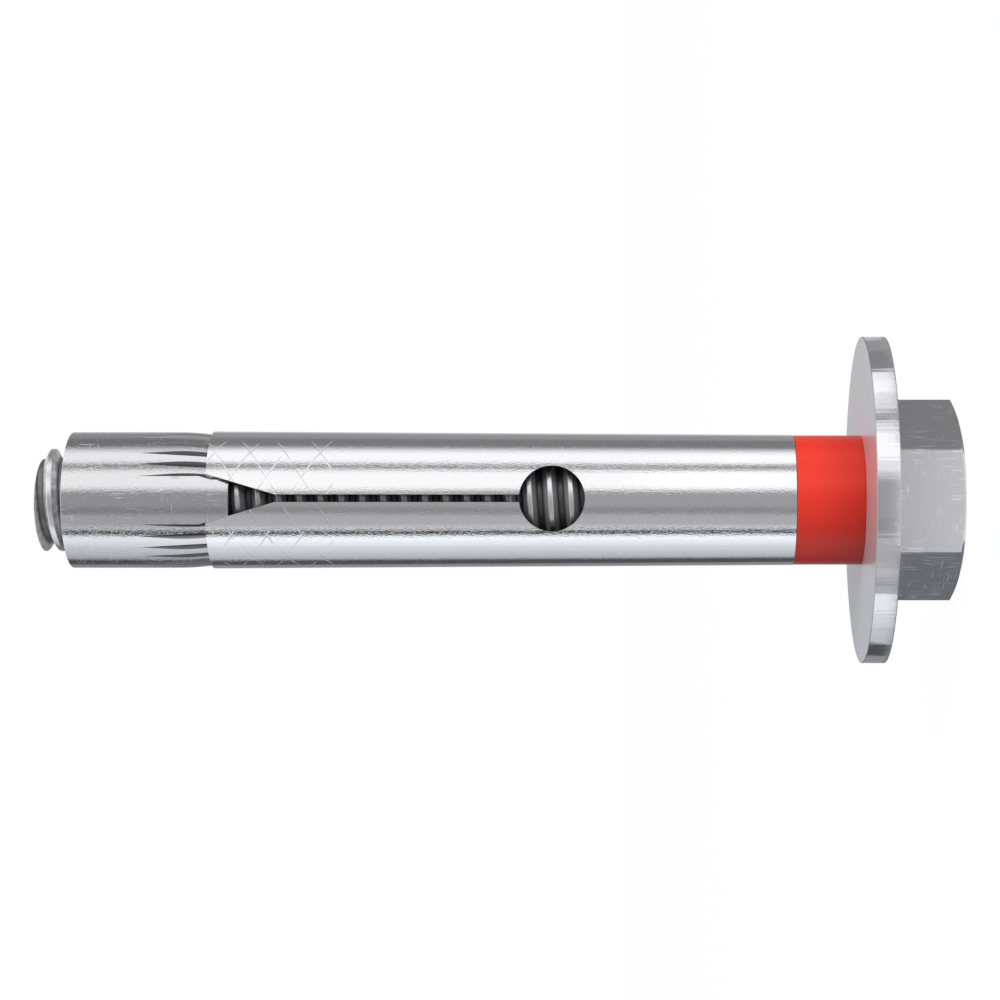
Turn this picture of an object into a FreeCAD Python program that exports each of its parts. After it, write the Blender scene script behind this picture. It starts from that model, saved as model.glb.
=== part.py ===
import FreeCAD, Part
import Sketcher
import math
import os

# Sleeve anchor, in millimetres. It stands on its hex head, with its axis along +Z and the
# head's end face at z = 0. The -Y side is the front: the middle flat of the head, one slot
# of the sleeve and one key of the nut face that way.

DRIVING_SIZES = {
    # Hex bolt, M8 class
    "head_across_flats": 12.86,
    "head_height": 5.4,
    "head_chamfer_inset": 0.93,
    "head_chamfer_degrees": 15,
    "bolt_length": 61.8,
    "shank_diameter": 7.55,
    "shank_tip_chamfer": 0.25,
    "neck_radius": 0.3,
    # Washer, stamped from sheet
    "washer_diameter": 24,
    "washer_thickness": 1.7,
    "washer_edge_radius": 0.06,
    # Collapsible plastic ring between washer and sleeve
    "spacer_wall": 0.755,
    "spacer_length": 5,
    "spacer_edge_radius": 0.08,
    # Expansion sleeve, rolled from strip and a little wider at its mouth
    "sleeve_length": 42.5,
    "sleeve_wall": 0.72,
    "sleeve_lip": 0.192,
    "seat_degrees": 7,
    "mouth_width": 3.54,
    "mouth_depth": 5,
    "slit_width": 0.55,
    "relief_hole": 4.75,
    "relief_hole_from_mouth": 24.9,
    "seam_gap": 0.4,
    # Cone nut, with a barrel that fits a 10 mm hole
    "nut_wall": 1.225,
    "nut_length": 12,
    "nut_cone_length": 4.25,
    "nut_cone_drop": 0.47,
    "nut_edge_radius": 0.1,
    "nut_bore_chamfer": 0.35,
    "nut_entry": 1.63,
    "key_width": 3.48,
    "key_depth": 0.7,
    "key_end_drop": 0.1,
    "flutes_between_keys": 8,
    "flute_length": 6.6,
    "flute_slope_degrees": 5,
    "flute_half_degrees": 36,
    # Fits on the bolt and of the nut in the sleeve
    "washer_clearance": 0.425,
    "spacer_clearance": 0.225,
    "sleeve_clearance": 0.295,
    "thread_clearance": 0.05,
    "seat_clearance": 0.03,
    "key_clearance": 0.177,
    # How far the pieces are turned on the bolt
    "head_turn_degrees": -0.7,
    "sleeve_turn_degrees": 1.5,
    "nut_turn_degrees": -0.2,
}
SECTORS = 3
SECTOR_DEGREES = 360 / SECTORS
HEX_SIDES = 6
OVERCUT = 1  # how far a cutting profile reaches past the metal that it cuts

# The nut's barrel, and the arc of its cone, which runs tangent out of the barrel.
SHANK_RADIUS = "( shank_diameter / 2 )"
BARREL_RADIUS = f"( {SHANK_RADIUS} + nut_wall )"
CONE_ARC_RADIUS = "( ( pow( nut_cone_drop ; 2 ) + pow( nut_cone_length ; 2 ) ) / ( 2 * nut_cone_drop ) )"

# Where the sleeve's lip lies on the cone, which has dropped a little below the barrel there.
DROP_AT_MOUTH = (
    f"( {CONE_ARC_RADIUS} - sqrt( pow( {CONE_ARC_RADIUS} ; 2 ) "
    "- pow( nut_cone_length - nut_entry ; 2 ) ) )"
)
LIP_RADIUS = f"( {BARREL_RADIUS} - {DROP_AT_MOUTH} + seat_clearance )"
MOUTH_RADIUS = f"( {LIP_RADIUS} + sleeve_lip )"

doc = FreeCAD.newDocument("sleeve_anchor")
sizes = doc.addObject("Spreadsheet::Sheet", "Sizes")
for row, (name, value) in enumerate(DRIVING_SIZES.items(), start=1):
    sizes.set(f"A{row}", name)
    sizes.set(f"B{row}", str(value))
    sizes.setAlias(f"B{row}", name)
doc.recompute()


def in_sheet(expression):
    """The expression with each size's name pointed at its cell in the sheet."""
    words = expression.split()
    return " ".join(f"Sizes.{word}" if word in DRIVING_SIZES else word for word in words)


def number(expression):
    """What an expression of size names comes to."""
    return float(sizes.evalExpression(in_sheet(expression)))


def bind(item, values):
    """Tie properties of an object to expressions of size names."""
    for name, expression in values.items():
        item.setExpression(name, in_sheet(expression))


def new_piece(label, up="0", turn="0"):
    """A body with its label, raised by up and turned about the anchor's axis by turn."""
    body = doc.addObject("PartDesign::Body", label)
    body.Label = label
    body.Placement = FreeCAD.Placement(
        FreeCAD.Vector(0, 0, number(up)),
        FreeCAD.Rotation(FreeCAD.Vector(0, 0, 1), number(turn)),
    )
    bind(body, {"Placement.Base.z": up, "Placement.Rotation.Angle": turn})
    return body


def origin_part(body, role):
    """One of a body's own origin planes or axes."""
    return next(item for item in body.Origin.OriginFeatures if item.Role == role)


def new_sketch(body, name, plane="XZ_Plane", turn=0, raised="0"):
    """A sketch on an origin plane, turned about the anchor's axis and raised off the plane."""
    sketch = body.newObject("Sketcher::SketchObject", name)
    sketch.AttachmentSupport = [(origin_part(body, plane), "")]
    sketch.MapMode = "FlatFace"
    upright = FreeCAD.Vector(0, 1, 0) if plane == "XZ_Plane" else FreeCAD.Vector(0, 0, 1)
    sketch.AttachmentOffset = FreeCAD.Placement(
        FreeCAD.Vector(0, 0, number(raised)), FreeCAD.Rotation(upright, turn)
    )
    if raised != "0":
        bind(sketch, {"AttachmentOffset.Base.z": raised})
    return sketch


def dimension(sketch, kind, from_end, to_end, expression):
    """A driving dimension between two points, each a (line, end) pair, tied to the sheet."""
    rule = Sketcher.Constraint(kind, *from_end, *to_end, number(expression))
    sketch.setExpression(f"Constraints[{sketch.addConstraint(rule)}]", in_sheet(expression))


def place_point(sketch, point, across, up):
    """Hold a point, a (line, end) pair, at its distances from the sketch's origin."""
    sketch_origin, level_axis, upright_axis = (-1, 1), -1, -2
    if across == "0":
        sketch.addConstraint(Sketcher.Constraint("PointOnObject", *point, upright_axis))
    else:
        dimension(sketch, "DistanceX", sketch_origin, point, across)
    if up == "0":
        sketch.addConstraint(Sketcher.Constraint("PointOnObject", *point, level_axis))
    else:
        dimension(sketch, "DistanceY", sketch_origin, point, up)


def add_outline(sketch, corners):
    """A closed outline of straight lines through corners given as pairs of expressions."""
    first = sketch.GeometryCount
    count = len(corners)
    points = [FreeCAD.Vector(number(across), number(up), 0) for across, up in corners]
    for index, point in enumerate(points):
        sketch.addGeometry(Part.LineSegment(point, points[(index + 1) % count]))
    for index, (across, up) in enumerate(corners):
        following = first + (index + 1) % count
        sketch.addConstraint(Sketcher.Constraint("Coincident", first + index, 2, following, 1))
        place_point(sketch, (first + index, 1), across, up)


def add_mirrored_outline(sketch, right_side):
    """A closed outline from its right side, read upwards, and the same on the left."""
    right = [FreeCAD.Vector(number(across), number(up), 0) for across, up in right_side]
    left = [FreeCAD.Vector(-point.x, point.y, 0) for point in reversed(right)]
    points = right + left
    first = sketch.GeometryCount
    count = len(points)
    for index, point in enumerate(points):
        sketch.addGeometry(Part.LineSegment(point, points[(index + 1) % count]))
    for index in range(count):
        following = first + (index + 1) % count
        sketch.addConstraint(Sketcher.Constraint("Coincident", first + index, 2, following, 1))
    for index, (across, up) in enumerate(right_side):
        place_point(sketch, (first + index, 1), across, up)
        partner = first + count - 1 - index
        sketch.addConstraint(Sketcher.Constraint("Symmetric", first + index, 1, partner, 1, -2))


def add_mirrored_pair(sketch, corners):
    """A closed outline on the right of the sketch's upright axis, and its mirror image."""
    add_outline(sketch, corners)
    count = len(corners)
    points = [FreeCAD.Vector(-number(across), number(up), 0) for across, up in corners]
    for index, point in enumerate(points):
        sketch.addGeometry(Part.LineSegment(point, points[(index + 1) % count]))
    for index in range(count):
        following = (index + 1) % count
        rule = Sketcher.Constraint("Coincident", count + index, 2, count + following, 1)
        sketch.addConstraint(rule)
        sketch.addConstraint(Sketcher.Constraint("Symmetric", index, 1, count + index, 1, -2))


def add_circle(sketch, diameter, up="0"):
    """A circle on the sketch's upright axis."""
    centre = FreeCAD.Vector(0, number(up), 0)
    circle = Part.Circle(centre, FreeCAD.Vector(0, 0, 1), number(diameter) / 2)
    index = sketch.addGeometry(circle)
    place_point(sketch, (index, 3), "0", up)
    rule = sketch.addConstraint(Sketcher.Constraint("Diameter", index, number(diameter)))
    sketch.setExpression(f"Constraints[{rule}]", in_sheet(diameter))


def volume(body):
    doc.recompute()
    return body.Shape.Volume


def cut(body, kind, name, profile, values=None, **settings):
    """A feature that takes material away, checked by the body's volume."""
    before = volume(body)
    feature = body.newObject(f"PartDesign::{kind}", name)
    feature.Profile = profile
    for setting, value in settings.items():
        setattr(feature, setting, value)
    bind(feature, values or {})
    if not volume(body) < before:
        raise ValueError(f"{name} cuts nothing")
    return feature


def turn_about_axis(body, kind, name, profile, degrees="360", **settings):
    """A revolved feature about the sketch's upright axis."""
    feature = body.newObject(f"PartDesign::{kind}", name)
    feature.Profile = profile
    feature.ReferenceAxis = (profile, ["V_Axis"])
    for setting, value in settings.items():
        setattr(feature, setting, value)
    bind(feature, {"Angle": degrees})
    doc.recompute()
    return feature


def repeat_about_axis(body, name, originals, degrees, count):
    """Copies of features about the anchor's axis, spread over an angle."""
    before = volume(body)
    pattern = body.newObject("PartDesign::PolarPattern", name)
    pattern.Originals = originals
    pattern.Axis = (origin_part(body, "Z_Axis"), [""])
    bind(pattern, {"Angle": degrees, "Occurrences": count})
    body.Tip = pattern
    if not volume(body) < before:
        raise ValueError(f"{name} cuts nothing")
    return pattern


def round_edges(body, name, radius, belongs):
    """A fillet on the round edges that belongs picks by their radius and height."""
    doc.recompute()
    base = body.Tip
    edges = [
        f"Edge{index}"
        for index, edge in enumerate(base.Shape.Edges, start=1)
        if isinstance(edge.Curve, Part.Circle)
        and belongs(edge.Curve.Radius, edge.CenterOfMass.z)
    ]
    fillet = body.newObject("PartDesign::Fillet", name)
    fillet.Base = (base, edges)
    bind(fillet, {"Radius": radius})
    doc.recompute()


def same(first, second):
    return abs(first - second) < 1e-4


def make_hex_bolt():
    """Head from a hexagonal prism with its corners turned off, and a turned shank."""
    bolt = new_piece("hex_bolt", turn="head_turn_degrees")
    head = bolt.newObject("PartDesign::AdditivePrism", "Head")
    head.AttachmentSupport = [(origin_part(bolt, "XY_Plane"), "")]
    head.MapMode = "FlatFace"
    head.Polygon = HEX_SIDES
    bind(head, {"Circumradius": "head_across_flats / sqrt( 3 )", "Height": "head_height"})
    doc.recompute()

    beyond = f"( head_across_flats / sqrt( 3 ) + {OVERCUT} )"
    chamfer_radius = "( head_across_flats / 2 - head_chamfer_inset )"
    rise = f"( {beyond} - {chamfer_radius} ) * tan( head_chamfer_degrees )"
    corners_off = new_sketch(bolt, "CornersOff")
    add_outline(corners_off, [(chamfer_radius, "0"), (beyond, "0"), (beyond, rise)])
    turn_about_axis(bolt, "Groove", "HeadChamfer", corners_off)

    tip = "head_height + bolt_length"
    shank_profile = new_sketch(bolt, "ShankProfile")
    add_outline(
        shank_profile,
        [
            ("0", "head_height / 2"),
            (SHANK_RADIUS, "head_height / 2"),
            (SHANK_RADIUS, f"{tip} - shank_tip_chamfer"),
            (f"{SHANK_RADIUS} - shank_tip_chamfer", tip),
            ("0", tip),
        ],
    )
    turn_about_axis(bolt, "Revolution", "Shank", shank_profile)
    round_edges(
        bolt,
        "Neck",
        "neck_radius",
        lambda radius, height: same(radius, number(SHANK_RADIUS))
        and same(height, number("head_height")),
    )
    return bolt


def make_washer():
    """Flat washer with the rounded edges of a stamped one."""
    washer = new_piece("washer", up="head_height")
    blank = new_sketch(washer, "Blank", plane="XY_Plane")
    add_circle(blank, "washer_diameter")
    add_circle(blank, "shank_diameter + 2 * washer_clearance")
    plate = washer.newObject("PartDesign::Pad", "Plate")
    plate.Profile = blank
    bind(plate, {"Length": "washer_thickness"})
    round_edges(
        washer,
        "StampedEdge",
        "washer_edge_radius",
        lambda radius, height: same(radius, number("washer_diameter / 2")),
    )
    return washer


def make_spacer_ring():
    """Plastic ring that crushes as the anchor is tightened."""
    spacer = new_piece("spacer_ring", up="head_height + washer_thickness")
    section = new_sketch(spacer, "RingSection", plane="XY_Plane")
    bore = "( shank_diameter + 2 * spacer_clearance )"
    add_circle(section, f"{bore} + 2 * spacer_wall")
    add_circle(section, bore)
    tube = spacer.newObject("PartDesign::Pad", "Tube")
    tube.Profile = section
    bind(tube, {"Length": "spacer_length"})
    round_edges(
        spacer,
        "MouldedEdges",
        "spacer_edge_radius",
        lambda radius, height: same(radius, number(f"{bore} / 2 + spacer_wall")),
    )
    return spacer


def make_expansion_sleeve():
    """Rolled sleeve: two slots with relief holes and the open seam part it into three legs,
    and each of the three ends in a V-shaped mouth that holds a key of the nut."""
    sleeve = new_piece(
        "expansion_sleeve",
        up="head_height + washer_thickness + spacer_length",
        turn="sleeve_turn_degrees",
    )
    # Where the cone nut enters, the wall is coined to a thin lip that lies on the cone.
    bore = f"( {SHANK_RADIUS} + sleeve_clearance )"
    flare = f"( {MOUTH_RADIUS} - {bore} - sleeve_wall )"
    seat_depth = (
        f"( ( {LIP_RADIUS} - {bore} - {flare} ) / "
        f"( tan( seat_degrees ) - {flare} / sleeve_length ) )"
    )
    wall_section = new_sketch(sleeve, "WallSection")
    add_outline(
        wall_section,
        [
            (bore, "0"),
            (f"{bore} + sleeve_wall", "0"),
            (MOUTH_RADIUS, "sleeve_length"),
            (LIP_RADIUS, "sleeve_length"),
            (f"{LIP_RADIUS} - {seat_depth} * tan( seat_degrees )", f"sleeve_length - {seat_depth}"),
        ],
    )
    turn_about_axis(sleeve, "Revolution", "RolledWall", wall_section)

    # The V mouth, symmetrical about the sketch's upright axis and cut out towards the front.
    above = f"sleeve_length + {OVERCUT}"
    half_above = (
        f"( slit_width + ( mouth_width - slit_width ) * ( mouth_depth + {OVERCUT} ) "
        "/ mouth_depth ) / 2"
    )
    v_shape = new_sketch(sleeve, "VShape")
    add_mirrored_outline(
        v_shape,
        [("slit_width / 2", "sleeve_length - mouth_depth"), (half_above, above)],
    )
    through = {"Length": f"{MOUTH_RADIUS} + {OVERCUT}"}
    mouth = cut(sleeve, "Pocket", "Mouth", v_shape, through, Reversed=True)
    repeat_about_axis(sleeve, "Mouths", [mouth], "360", str(SECTORS))

    hole_height = "sleeve_length - relief_hole_from_mouth"
    slit_shape = new_sketch(sleeve, "SlitShape")
    add_mirrored_outline(
        slit_shape,
        [
            ("slit_width / 2", hole_height),
            ("slit_width / 2", f"sleeve_length - mouth_depth + {OVERCUT}"),
        ],
    )
    slit = cut(sleeve, "Pocket", "Slit", slit_shape, through, Reversed=True)
    hole_shape = new_sketch(sleeve, "HoleShape")
    add_circle(hole_shape, "relief_hole", hole_height)
    relief = cut(sleeve, "Pocket", "Relief", hole_shape, through, Reversed=True)
    repeat_about_axis(sleeve, "Slots", [slit, relief], str(SECTOR_DEGREES), str(SECTORS - 1))

    seam_shape = new_sketch(sleeve, "SeamShape", turn=-SECTOR_DEGREES)
    add_mirrored_outline(
        seam_shape, [("seam_gap / 2", "0"), ("seam_gap / 2", "sleeve_length")]
    )
    cut(sleeve, "Pocket", "Seam", seam_shape, through, Reversed=True)
    return sleeve


def add_cone_section(sketch):
    """What is turned away from the blank outside the cone's arc."""
    small_radius = f"{BARREL_RADIUS} - nut_cone_drop"
    outside_radius = f"{BARREL_RADIUS} + {OVERCUT}"
    barrel = number(BARREL_RADIUS)
    small = number(small_radius)
    outside = number(outside_radius)
    length = number("nut_cone_length")
    arc_radius = number(CONE_ARC_RADIUS)
    centre = FreeCAD.Vector(barrel - arc_radius, length, 0)
    circle = Part.Circle(centre, FreeCAD.Vector(0, 0, 1), arc_radius)
    arc = sketch.addGeometry(Part.ArcOfCircle(circle, -math.asin(length / arc_radius), 0))
    corners = [(small, 0), (outside, 0), (outside, length), (barrel, length)]
    points = [FreeCAD.Vector(across, up, 0) for across, up in corners]
    lines = [
        sketch.addGeometry(Part.LineSegment(start, end)) for start, end in zip(points, points[1:])
    ]
    joins = [
        (arc, 1, lines[0], 1),
        (lines[0], 2, lines[1], 1),
        (lines[1], 2, lines[2], 1),
        (lines[2], 2, arc, 2),
    ]
    for join in joins:
        sketch.addConstraint(Sketcher.Constraint("Coincident", *join))
    sketch.addConstraint(Sketcher.Constraint("Horizontal", arc, 3, arc, 2))
    place_point(sketch, (lines[0], 1), small_radius, "0")
    place_point(sketch, (lines[1], 1), outside_radius, "0")
    place_point(sketch, (lines[2], 1), outside_radius, "nut_cone_length")
    place_point(sketch, (lines[2], 2), BARREL_RADIUS, "nut_cone_length")


def add_flute_section(sketch, floor):
    """A V that opens outwards from the flute's floor, symmetrical about the level axis."""
    rim = f"( {BARREL_RADIUS} + {OVERCUT} )"
    half_width = f"( {rim} - ( {floor} ) ) * tan( flute_half_degrees )"
    bottom = FreeCAD.Vector(number(floor), 0, 0)
    upper = FreeCAD.Vector(number(rim), number(half_width), 0)
    lower = FreeCAD.Vector(number(rim), -number(half_width), 0)
    for start, end in ((bottom, lower), (lower, upper), (upper, bottom)):
        sketch.addGeometry(Part.LineSegment(start, end))
    for line in range(3):
        following = (line + 1) % 3
        sketch.addConstraint(Sketcher.Constraint("Coincident", line, 2, following, 1))
    place_point(sketch, (0, 1), floor, "0")
    place_point(sketch, (2, 1), rim, half_width)
    sketch.addConstraint(Sketcher.Constraint("Symmetric", 2, 1, 1, 1, -1))


def make_cone_nut():
    """Cone nut: its keys stand proud in the sleeve's mouths, and fluted lands between them
    wedge the legs apart."""
    nut = new_piece(
        "cone_nut",
        up="head_height + washer_thickness + spacer_length + sleeve_length - nut_entry",
        turn="nut_turn_degrees",
    )
    bore = f"( {SHANK_RADIUS} + thread_clearance )"
    blank_section = new_sketch(nut, "BlankSection")
    add_outline(
        blank_section,
        [
            (bore, "0"),
            (f"{BARREL_RADIUS} - key_end_drop", "0"),
            (BARREL_RADIUS, "nut_cone_length"),
            (BARREL_RADIUS, "nut_length"),
            (f"{bore} + nut_bore_chamfer", "nut_length"),
            (bore, "nut_length - nut_bore_chamfer"),
        ],
    )
    turn_about_axis(nut, "Revolution", "Blank", blank_section)
    round_edges(
        nut,
        "TurnedEdge",
        "nut_edge_radius",
        lambda radius, height: same(radius, number(BARREL_RADIUS))
        and same(height, number("nut_length")),
    )

    # The cone is turned away between the keys only, so each key stays a raised tongue.
    key_degrees = f"2 * asin( key_width / 2 / {BARREL_RADIUS} )"
    land_degrees = f"{SECTOR_DEGREES} deg - {key_degrees}"
    cone_section = new_sketch(nut, "ConeSection", turn=SECTOR_DEGREES / 2 - 90)
    add_cone_section(cone_section)
    land = turn_about_axis(nut, "Groove", "Land", cone_section, land_degrees, Midplane=True)
    repeat_about_axis(nut, "Lands", [land], "360", str(SECTORS))

    # Each tongue narrows with the V of its mouth.
    half_at_end = (
        "( ( slit_width + ( mouth_width - slit_width ) * ( 1 - nut_entry / mouth_depth ) ) / 2 "
        "- key_clearance )"
    )
    narrowing = "( ( mouth_width - slit_width ) / ( 2 * mouth_depth ) )"
    flanks = new_sketch(nut, "KeyFlanks", raised=f"{BARREL_RADIUS} - key_depth")
    add_mirrored_pair(
        flanks,
        [
            (half_at_end, "0"),
            ("key_width / 2", "0"),
            ("key_width / 2", f"( key_width / 2 - {half_at_end} ) / {narrowing}"),
        ],
    )
    to_outside = {"Length": f"key_depth + {OVERCUT}"}
    narrowed = cut(nut, "Pocket", "KeyNarrowed", flanks, to_outside, Reversed=True)
    repeat_about_axis(nut, "KeysNarrowed", [narrowed], "360", str(SECTORS))

    # V-shaped flutes run out on the barrel. The first and last of each land border its keys.
    first_flutes = []
    for sector in range(SECTORS):
        start = number(key_degrees) / 2 + sector * SECTOR_DEGREES - 90
        deep = new_sketch(nut, f"FluteDeep{sector}", plane="XY_Plane", turn=start)
        shallow = new_sketch(
            nut, f"FluteShallow{sector}", plane="XY_Plane", turn=start, raised="flute_length"
        )
        add_flute_section(deep, f"{BARREL_RADIUS} - flute_length * tan( flute_slope_degrees )")
        add_flute_section(shallow, BARREL_RADIUS)
        first_flutes.append(
            cut(nut, "SubtractiveLoft", f"Flute{sector}", deep, Sections=[shallow], Ruled=True)
        )
    repeat_about_axis(nut, "Flutes", first_flutes, land_degrees, "flutes_between_keys")
    return nut


doc.recompute()
PIECES = [
    make_hex_bolt(),
    make_washer(),
    make_spacer_ring(),
    make_expansion_sleeve(),
    make_cone_nut(),
]
doc.recompute()

for item in doc.Objects:
    if "Invalid" in item.State or "Error" in item.State:
        raise ValueError(f"{item.Label} failed: {item.State}")
os.makedirs("parts", exist_ok=True)
for piece in PIECES:
    shape = piece.Shape
    if shape.isNull() or not shape.isValid():
        raise ValueError(f"{piece.Label} has no valid shape")
    shape.exportStep(f"parts/{piece.Label}.step")
    print(piece.Label, "solids", len(shape.Solids), "volume", round(shape.Volume, 2))
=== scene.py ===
# %% [markdown]
# # A sleeve anchor, dressed for the studio
# The anchor is a bolt that carries four loose pieces: a large washer, a red plastic ring that
# crushes, a slotted sleeve rolled from strip, and a cone nut that the bolt pulls into the
# sleeve. All of its steel is zinc plated, so nearly everything that the eye reads as its form
# is a reflection. The lesson first builds the small studio that bright metal needs, and then
# models the pieces as a machinist would make them.

# %% Load the anchor's frame
import math

import bmesh
import bpy
from mathutils import Matrix, Vector


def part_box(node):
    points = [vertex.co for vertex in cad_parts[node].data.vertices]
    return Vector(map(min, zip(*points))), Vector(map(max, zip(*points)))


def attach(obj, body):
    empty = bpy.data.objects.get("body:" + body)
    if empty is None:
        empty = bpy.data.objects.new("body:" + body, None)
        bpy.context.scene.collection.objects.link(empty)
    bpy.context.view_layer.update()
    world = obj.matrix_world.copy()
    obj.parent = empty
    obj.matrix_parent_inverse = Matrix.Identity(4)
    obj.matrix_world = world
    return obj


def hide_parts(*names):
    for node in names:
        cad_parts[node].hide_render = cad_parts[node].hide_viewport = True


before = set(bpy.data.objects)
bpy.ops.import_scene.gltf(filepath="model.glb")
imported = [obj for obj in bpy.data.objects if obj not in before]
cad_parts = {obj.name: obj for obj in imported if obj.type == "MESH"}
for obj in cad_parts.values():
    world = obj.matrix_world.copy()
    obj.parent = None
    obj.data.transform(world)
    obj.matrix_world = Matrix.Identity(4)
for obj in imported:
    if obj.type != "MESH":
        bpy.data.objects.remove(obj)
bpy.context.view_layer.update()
MM = 0.001

# %% [markdown]
# ## Heights along the bolt
# The anchor stands on its hex head, with its axis along Z. Each piece is stacked on the last
# one, so every height here is read from the frame's own boxes, and only what the boxes can't
# tell, such as a thread's pitch or a slot's width, is written down in millimetres.

# %% Heights and radii taken from the frame
head_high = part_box("hex_bolt")[1]
washer_low, washer_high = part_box("washer")
ring_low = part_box("spacer_ring")[0]
sleeve_low, sleeve_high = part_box("expansion_sleeve")
nut_low, nut_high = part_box("cone_nut")

BOLT_TIP = head_high.z
HEAD_TOP = washer_low.z
WASHER_TOP = washer_high.z
SLEEVE_FOOT = sleeve_low.z
SLEEVE_MOUTH = sleeve_high.z
NUT_END = nut_high.z
BARREL_RADIUS = nut_high.x
WASHER_RADIUS = washer_high.x
RING_FOOT = ring_low.z
print(f"stack: {HEAD_TOP / MM:.2f} {WASHER_TOP / MM:.2f} {SLEEVE_FOOT / MM:.2f} "
      f"{SLEEVE_MOUTH / MM:.2f} {NUT_END / MM:.2f} {BOLT_TIP / MM:.2f} mm")

# %% [markdown]
# ## The camera
# The picture shows the anchor lying level, tip to the left. The model stands upright, so the
# camera is laid on its side instead: its right is the way down and its top is +X. It looks
# straight across the axis from a hand's span away, level with a point nearer the head, and a
# small lens shift puts the middle of the anchor back in the middle of the frame.

# %% Camera on its side, looking across the axis
EYE_DISTANCE = 188.6 * MM
EYE_HEIGHT = 25.6 * MM
LENS_MM = 92.16
SENSOR_MM = 36
SHIFT = -0.109

camera_data = bpy.data.cameras.new("camera")
camera_data.lens = LENS_MM
camera_data.sensor_width = SENSOR_MM
camera_data.shift_x = SHIFT
camera_data.clip_start = 0.01
camera = bpy.data.objects.new("camera", camera_data)
bpy.context.scene.collection.objects.link(camera)
right, up, back = Vector((0, 0, -1)), Vector((1, 0, 0)), Vector((0, -1, 0))
camera.matrix_world = Matrix.Translation((0, -EYE_DISTANCE, EYE_HEIGHT)) @ Matrix(
    (right, up, back)
).transposed().to_4x4()
bpy.context.scene.camera = camera
bpy.context.scene.view_settings.view_transform = "Standard"
print("camera at", tuple(round(value, 4) for value in camera.location))

# %% [markdown]
# ## Node trees
# The world, the floor and every finish are trees of nodes. One helper adds a node with its
# numbers, colours and links, and one does a sum. The third tells rays that look at something,
# straight or by way of metal or glass, from those that carry light between dull surfaces.

# %% Helpers for node trees
def add_node(tree, kind, values=None, **settings):
    """A node with its settings, and with numbers, colours or links on its inputs."""
    node = tree.nodes.new(kind)
    for name, value in settings.items():
        setattr(node, name, value)
    for key, value in (values or {}).items():
        if isinstance(value, bpy.types.NodeSocket):
            tree.links.new(value, node.inputs[key])
        else:
            node.inputs[key].default_value = value
    return node


def math_node(tree, operation, *values, **settings):
    """The result of one sum on numbers or sockets."""
    inputs = dict(enumerate(values))
    return add_node(tree, "ShaderNodeMath", inputs, operation=operation, **settings).outputs[0]


def looking_rays(tree):
    """1 for rays from the camera, or from metal or glass, and 0 for the rest."""
    path = add_node(tree, "ShaderNodeLightPath").outputs
    seen = math_node(tree, "MAXIMUM", path["Is Camera Ray"], path["Is Glossy Ray"])
    return math_node(tree, "MAXIMUM", seen, path["Is Transmission Ray"])


print("node helpers ready")

# %% [markdown]
# ## The world
# A white sweep would be lit until it is white, which takes more light than suits the anchor.
# Here the world is simply white for the rays that look at it, while the light that it gives
# to dull surfaces stays low.

# %% A white world that lights dull surfaces gently
WHITE = (1, 1, 1, 1)
DULL_LIGHT = 0.29

world = bpy.data.worlds.new("studio")
world.use_nodes = True
bpy.context.scene.world = world
tree = world.node_tree
tree.nodes.clear()
seen = looking_rays(tree)
low_light = add_node(tree, "ShaderNodeBackground", {"Color": WHITE, "Strength": DULL_LIGHT})
white = add_node(tree, "ShaderNodeBackground", {"Color": WHITE, "Strength": 1.0})
either = add_node(
    tree, "ShaderNodeMixShader", {0: seen, 1: low_light.outputs[0], 2: white.outputs[0]}
)
add_node(tree, "ShaderNodeOutputWorld", {"Surface": either.outputs[0]})
print("world:", world.name)

# %% [markdown]
# ## The floor
# The floor is white to look at in the same way. It keeps a little of its own shading, so the
# anchor's shadow is still seen where it stands.

# %% A pale floor that keeps a trace of shadow
FLOOR_SIZE = 8
FLOOR_GLOW = 1.09
SHADOW_SHARE = 0.12

bpy.ops.object.select_all(action="DESELECT")
bpy.ops.mesh.primitive_plane_add(size=FLOOR_SIZE)
floor = bpy.context.object
floor.name = "floor"
paint = bpy.data.materials.new("floor_white")
paint.use_nodes = True
tree = paint.node_tree
tree.nodes.clear()
dull = add_node(tree, "ShaderNodeBsdfDiffuse", {"Color": (0.9, 0.9, 0.9, 1)})
glow = add_node(tree, "ShaderNodeEmission", {"Color": WHITE, "Strength": FLOOR_GLOW})
share = math_node(tree, "MULTIPLY", looking_rays(tree), 1 - SHADOW_SHARE)
either = add_node(
    tree, "ShaderNodeMixShader", {0: share, 1: dull.outputs[0], 2: glow.outputs[0]}
)
add_node(tree, "ShaderNodeOutputMaterial", {"Surface": either.outputs[0]})
floor.data.materials.append(paint)
print("floor:", tuple(floor.dimensions))

# %% [markdown]
# ## Light
# One large softbox stands above and to the front of the picture's upper edge, which is the
# anchor's +X side. It gives the red ring its slow fall from light to dark. The metal hardly
# needs lamps, because it shows what stands around it.

# %% One soft key light
KEY_TURN = 42
KEY_DISTANCE = 0.5
KEY_HEIGHT = 0.16
KEY_WATTS = 2.4
SOFTBOX_SIZE = 0.4


def around(degrees, radius, height=0.0):
    """A point about the axis, by its angle from the front, -Y, towards +X."""
    turn = math.radians(degrees)
    return Vector((radius * math.sin(turn), -radius * math.cos(turn), height))


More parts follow.
